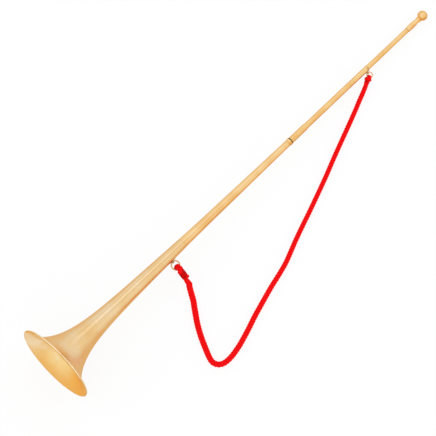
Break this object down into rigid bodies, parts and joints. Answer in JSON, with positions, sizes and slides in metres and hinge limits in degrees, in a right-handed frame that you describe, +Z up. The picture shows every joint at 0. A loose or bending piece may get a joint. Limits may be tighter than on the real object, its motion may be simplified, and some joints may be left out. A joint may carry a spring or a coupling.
{
  "type": "toy trumpet",
  "caption": "Long straight toy trumpet of polished brass with a flared bell, slip joint and ball mouthpiece, and a red braided carrying cord on rings, lying on its side.",
  "frame": {"origin": "centre of the underside of the horn's bounding box, without the cord", "axes": "+X from the bell towards the mouthpiece, +Z up, the rings and the cord on the -Y side"},
  "size_m": [0.6258, 0.1857, 0.1026],
  "materials": {
    "polished_brass": "polished",
    "wire_brass": "drawn wire, dull",
    "reed_steel": "rolled strip",
    "red_braid": "soft round braid",
    "dark_red_thread": "wound thread"
  },
  "bodies": {
    "bell_section": {"bell": "polished_brass", "rim_wire": "wire_brass", "bell_tube": "polished_brass", "joint_ferrule": "polished_brass", "lower_ring_foot": "polished_brass"},
    "lead_section": {"joint_sleeve": "polished_brass", "lead_pipe": "polished_brass", "mouth_pipe": "polished_brass", "upper_ring_foot": "polished_brass", "reed_block": "polished_brass", "reed_tongue": "reed_steel", "reed_rivet": "polished_brass"},
    "mouthpiece_plug": {"mouthpiece": "polished_brass"},
    "sling": {"lower_ring": "wire_brass", "lower_cord_eye": "red_braid", "lower_whipping": "dark_red_thread", "cord": "red_braid"},
    "sling_upper_end": {"upper_ring": "wire_brass", "upper_cord_eye": "red_braid", "upper_whipping": "dark_red_thread"}
  },
  "joints": [
    {"name": "section_pull", "type": "slide", "parent": "bell_section", "child": "lead_section", "axis": [0.9973, 0, -0.0735], "range_m": [0, 0.026]},
    {"name": "mouthpiece_pull", "type": "slide", "parent": "lead_section", "child": "mouthpiece_plug", "axis": [0.9973, 0, -0.0735], "range_m": [0, 0.02]},
    {"name": "sling_swing", "type": "hinge", "parent": "bell_section", "child": "sling", "pos_m": [-0.12115, -0.00689, 0.03138], "axis": [0.9978, 0.0087, -0.0657], "range_deg": [-60, 85]},
    {"name": "sling_follow", "type": "slide", "parent": "sling", "child": "sling_upper_end", "axis": [0.9976, 0.0043, -0.0696], "range_m": [0, 0.026]}
  ],
  "couplings": [
    {"joint": "sling_follow", "follows": "section_pull", "ratio": 1}
  ]
}
